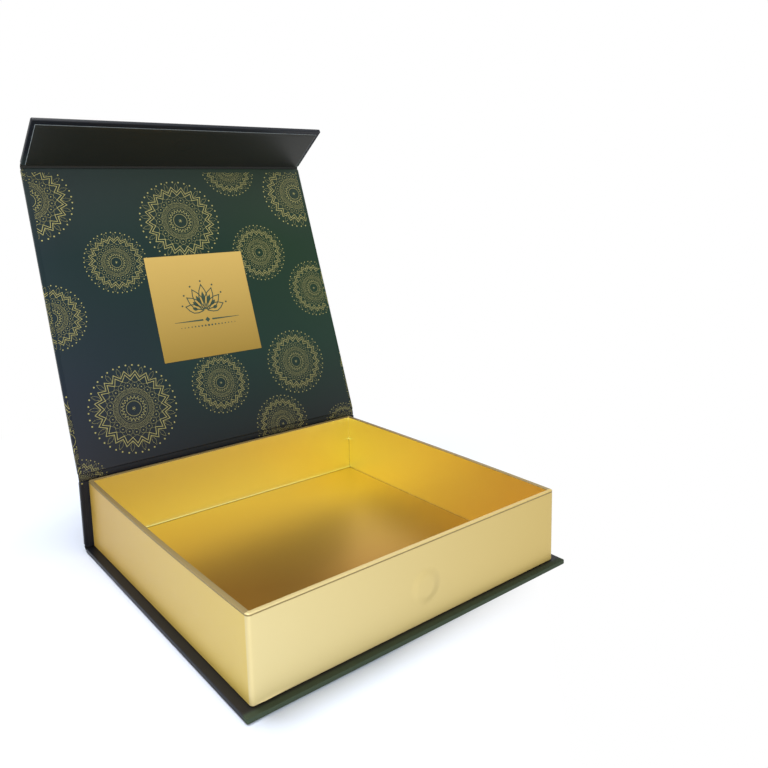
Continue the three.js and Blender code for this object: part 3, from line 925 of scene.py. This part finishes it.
outer_spots = MEDALLIONS + SPOTS_BESIDE
margin = half_width - lining_high.x - CASE_EDGE - STAMP_MARGIN
for panel, origin in (("spine", spine_length + lid_length), ("lid", lid_length), ("flap", 0)):
    box_low, box_high = panel_box(panel, f"{panel}_wrap")
    place, cuts, reach = edge_place(panel, box_low, box_high, origin)
    trim = FOLD_LIP + CASE_EDGE
    side = box_high.x - CASE_EDGE if panel == "flap" else reach + margin
    low = Vector((-side, origin - box_high.y + trim))
    high = Vector((side, origin - box_low.y - trim))
    art = medallions(outer_spots, low, high)
    foil = lay(f"{panel}_outer_foil", art, low, high, place, gold_foil, across_cuts=cuts)
    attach(foil, BODIES[panel])


def strip_place(hinge, origin, face):
    """How a flat sheet lies on one face of a hinge strip, whose axis is at an origin on the sheet."""
    def place(across, up):
        share = 0.5 + face * (up - origin) / (2 * strip_reach)
        spot, inwards = strip_point(*HINGES[hinge], share)
        return spot + inwards * face * (STRIP / 2 + FOIL_LIFT) + rightwards * across
    return place


# On the paper hinges, where the foil follows their curve
for hinge, spots, origin, face in (
    ("lid", MEDALLIONS, 0, 1),
    ("lid", outer_spots, lid_length, -1),
    ("flap", outer_spots, 0, -1),
):
    axis, to_first, to_second = HINGES[hinge]
    reach = strip_reach - FOLD_LIP - STRIP_TUCK
    low = Vector((-half_width + STAMP_MARGIN, origin - reach))
    high = Vector((half_width - STAMP_MARGIN, origin + reach))
    cuts = [origin + strip_reach * (2 * step / STRIP_STEPS - 1) for step in range(1, STRIP_STEPS)]
    art = medallions(spots, low, high)
    name = f"{hinge}_hinge_{'inner' if face > 0 else 'outer'}_foil"
    place = strip_place(hinge, origin, face)
    foil = lay(name, art, low, high, place, gold_foil, along_cuts=cuts)
    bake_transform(foil)


# Gold squares on the lid
# A square of gold card, glued in the middle of the lid, inside and outside, and printed in dark green
# with a flower, a rule and dots. The card's cut edge catches the light. Its tint is darker at the bottom and
# lighter at the top: painted shade and light.
PANEL_EDGE = 0.08 * MM
gold_card, tree, place = new_material("satin gold card")
axes = add_node(tree, "SeparateXYZ", {"Vector": place})
card_low, card_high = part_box("lid_inner_panel")
# Darker at the bottom and lighter at the top of the card: painted shade and light.
height = add_node(
    tree,
    "MapRange",
    {"Value": axes.outputs["Z"], "From Min": card_low.z, "From Max": card_high.z},
)
grain = add_node(tree, "TexNoise", {"Vector": place, "Scale": 1 / GOLD_GRAIN, "Detail": 2.0})
tone = add_node(tree, "MixRGB", {"Fac": height, "Color1": linear("#9f8338"), "Color2": linear("#dab967")})
satin = add_node(tree, "MapRange", {"Value": grain, "To Min": 0.35, "To Max": 0.45})
surface = add_node(
    tree,
    "BsdfPrincipled",
    {"Base Color": tone, "Metallic": 0.6, "Roughness": satin},
)
add_node(tree, "OutputMaterial", {"Surface": surface})

# Dark green offset ink, dull on the gold
green_ink, tree, place = new_material("dark green ink")
grain = add_node(tree, "TexNoise", {"Vector": place, "Scale": 1 / GOLD_GRAIN, "Detail": 2.0})
tone = add_node(tree, "MixRGB", {"Fac": grain, "Color1": linear("#22382a"), "Color2": linear("#33503c")})
surface = add_node(tree, "BsdfPrincipled", {"Base Color": tone, "Roughness": 0.5})
add_node(tree, "OutputMaterial", {"Surface": surface})


def flower_print():
    """The square's artwork: a seven-petalled flower over a rule with a diamond, and rows of dots."""
    art = bmesh.new()
    root = Vector((0, -5 * MM))
    for step in range(-3, 4):
        angle = math.radians(90 + 24 * step)
        length = (20 - 1.6 * abs(step)) * MM
        ribbon(art, leaf(root, 2 * MM, length, 3.2 * MM, angle), 0.7 * MM)
        petal = leaf(root, 6 * MM, length - 5 * MM, 1.3 * MM, angle)
        art.faces.new([art.verts.new(point.to_3d()) for point in petal])
        dot(art, root + Vector((math.cos(angle), math.sin(angle))) * (length + 2.6 * MM), 0.7 * MM, 12)
    rule = Vector((0, -11 * MM))
    for side in (-1, 1):
        ends = [(3.5, 0.6), (3.5, -0.6), (25, -0.15), (25, 0.15)]
        corners = [rule + Vector((side * x, y)) * MM for x, y in ends[::side]]
        art.faces.new([art.verts.new(corner.to_3d()) for corner in corners])
        for step in range(1, 9):
            dot(art, rule + Vector((side * step * 2.6, -4.2)) * MM, (0.75 - 0.05 * step) * MM, 10)
    dot(art, rule, 1.9 * MM, 4)
    dot(art, rule + Vector((0, -4.2 * MM)), 0.8 * MM, 10)
    return art


def print_place(middle, top, side):
    """How the flat artwork lies on one face of a square."""
    return lambda x, y: PANELS["lid"] @ Vector((x, middle.y + side * y, top))


for face, side in (("inner", 1), ("outer", -1)):
    node = f"lid_{face}_panel"
    low, high = panel_box("lid", node)
    rings = [outline(low, high, inset, INNER_FOLD, low.z) for inset in (FLAT_MARGIN, PANEL_EDGE)]
    rings += [outline(low, high, 0, INNER_FOLD, z) for z in (low.z + PANEL_EDGE / 2, high.z - PANEL_EDGE / 2)]
    rings += [outline(low, high, inset, INNER_FOLD, high.z) for inset in (PANEL_EDGE, FLAT_MARGIN)]
    card = skin(f"{face}_gold_card", rings, first_cap=True, last_cap=True, panel=PANELS["lid"])
    card.data.materials.append(gold_card)
    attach(card, "lid")
    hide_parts(node)
    middle = Vector((low.x + high.x, low.y + high.y)) / 2
    top = high.z + FOIL_LIFT if side > 0 else low.z - FOIL_LIFT
    half_card = (high.xy - low.xy) / 2
    ink = lay(
        f"{face}_card_print",
        flower_print(),
        -half_card,
        half_card,
        print_place(middle, top, side),
        green_ink,
    )
    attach(ink, "lid")


# Table top
# A plain sweep of pale blue-white painted board that the box stands on. The blue makes the box's soft
# shadow cool, as painted cool light. It keeps that shadow near by and runs out into a glowing white backdrop
# further off; in front on the right the glow starts close to the box, painted light that thins the shadow
# there.
FLOOR_SIDE = 8.0
FLOOR_DROP = 0.2 * MM
FADE_CENTRE = (-0.07, 0.02, 0.0)
FADE_START = 0.14
FADE_END = 0.37
FRONT_RIGHT = (1, -1, 0)
RIGHT_START = 0.074
RIGHT_END = 0.189
white_table, tree, place = new_material("white table")
flat = add_node(tree, "VectorMath", {0: place, 1: FADE_CENTRE}, operation="DISTANCE").outputs["Value"]
far = add_node(tree, "MapRange", {"Value": flat, "From Min": FADE_START, "From Max": FADE_END})
# In front on the right, the table turns to white glow close to the box: painted light that thins the shadow.
right = add_node(tree, "VectorMath", {0: place, 1: FRONT_RIGHT}, operation="DOT_PRODUCT").outputs["Value"]
lit = add_node(tree, "MapRange", {"Value": right, "From Min": RIGHT_START, "From Max": RIGHT_END})
fade = add_node(tree, "Math", {0: far, 1: lit}, operation="MAXIMUM")
# Pale blue paint, which makes the shadow cool: painted cool light.
paint = add_node(tree, "BsdfDiffuse", {"Color": linear("#dfe9fc")})
backdrop = add_node(tree, "Emission", {"Color": linear("#ffffff")})
surface = add_node(tree, "MixShader", {0: fade, 1: paint, 2: backdrop})
add_node(tree, "OutputMaterial", {"Surface": surface})
half = FLOOR_SIDE / 2
corners = [[(-half, -half, -FLOOR_DROP), (half, -half, -FLOOR_DROP)]]
corners += [[(-half, half, -FLOOR_DROP), (half, half, -FLOOR_DROP)]]
table = skin("table", corners, closed=False)
table.data.materials.append(white_table)


# Light
# A pale room round the box, brightest above, and warmer and dimmer behind on the left, with a soft lamp
# overhead, and a low one and a weak higher one in front on the left. The camera and mirrored rays see the
# room as plain white.
WARM_AXIS = (0.7, -0.7, 0.0)
world = bpy.data.worlds.new("pale room")
bpy.context.scene.world = world
world.use_nodes = True
tree = world.node_tree
tree.nodes.clear()
direction = add_node(tree, "TexCoord", {}).outputs["Generated"]
axes = add_node(tree, "SeparateXYZ", {"Vector": direction})
slant = add_node(tree, "VectorMath", {0: direction, 1: WARM_AXIS}, operation="DOT_PRODUCT").outputs["Value"]
side = add_node(tree, "MapRange", {"Value": slant, "From Min": -0.9, "From Max": 0.0})
tone = add_node(tree, "MixRGB", {"Fac": side, "Color1": linear("#bd9763"), "Color2": linear("#f0f0ee")})
ahead = add_node(
    tree,
    "MapRange",
    {"Value": axes.outputs["Y"], "From Min": -0.2, "From Max": 0.7, "To Min": 1.0, "To Max": 0.85},
)
above = add_node(
    tree,
    "MapRange",
    {"Value": axes.outputs["Z"], "From Min": 0.1, "From Max": 0.65, "To Min": 0.2, "To Max": 0.95},
)
level = add_node(tree, "Math", {0: ahead, 1: above}, operation="MULTIPLY")
room = add_node(tree, "Background", {"Color": tone, "Strength": level})
white = add_node(tree, "Background", {"Color": linear("#ffffff")})
path = add_node(tree, "LightPath", {}).outputs
seen = add_node(tree, "Math", {0: path["Is Camera Ray"], 1: path["Is Glossy Ray"]}, operation="MAXIMUM")
clear = add_node(tree, "Math", {0: seen, 1: path["Is Transmission Ray"]}, operation="MAXIMUM")
shown = add_node(tree, "MixShader", {0: clear, 1: room, 2: white})
add_node(tree, "OutputWorld", {"Surface": shown})

LAMPS = {
    "overhead lamp": ((-0.15, 0.32, 1.3), 0.5, 0.5, 15.0),
    "low front lamp": ((-0.45, -0.7, 0.035), 0.5, 0.06, 3.9),
    "high front lamp": ((-0.42, -0.62, 0.4), 0.3, 0.3, 0.35),
}
for name, (spot, width, height, watts) in LAMPS.items():
    lamp = bpy.data.lights.new(name, "AREA")
    lamp.shape = "RECTANGLE"
    lamp.size = width
    lamp.size_y = height
    lamp.energy = watts
    lamp_object = bpy.data.objects.new(name, lamp)
    lamp_object.location = spot
    lamp_object.rotation_euler = (-lamp_object.location).to_track_quat("-Z", "Y").to_euler()
    bpy.context.scene.collection.objects.link(lamp_object)


# Camera
# Where the photographer stood: in front and to the left, a little above the box, at arm's length. The
# picture is the lower middle part of a larger frame, which the small shift takes up.
CAMERA_AIM = Vector((61.36, 0.0, 144.48)) * MM
CAMERA_DISTANCE = 483.2 * MM
CAMERA_AZIMUTH = math.radians(-39.14)
CAMERA_ELEVATION = math.radians(9.22)
CAMERA_ROLL = math.radians(-1.09)
camera = bpy.data.cameras.new("camera")
camera.lens = 35.54
camera.sensor_width = 36
camera.shift_x = -0.0059
camera.shift_y = -0.0918
camera.clip_start = 0.01
camera_object = bpy.data.objects.new("camera", camera)
flat_run = math.cos(CAMERA_ELEVATION)
back = Vector(
    (
        math.sin(CAMERA_AZIMUTH) * flat_run,
        -math.cos(CAMERA_AZIMUTH) * flat_run,
        math.sin(CAMERA_ELEVATION),
    )
)
camera_object.location = CAMERA_AIM + back * CAMERA_DISTANCE
level = (-back).to_track_quat("-Z", "Y").to_matrix()
camera_object.rotation_euler = (level @ Matrix.Rotation(CAMERA_ROLL, 3, "Z")).to_euler()
bpy.context.scene.collection.objects.link(camera_object)
bpy.context.scene.camera = camera_object
bpy.context.scene.view_settings.view_transform = "Standard"
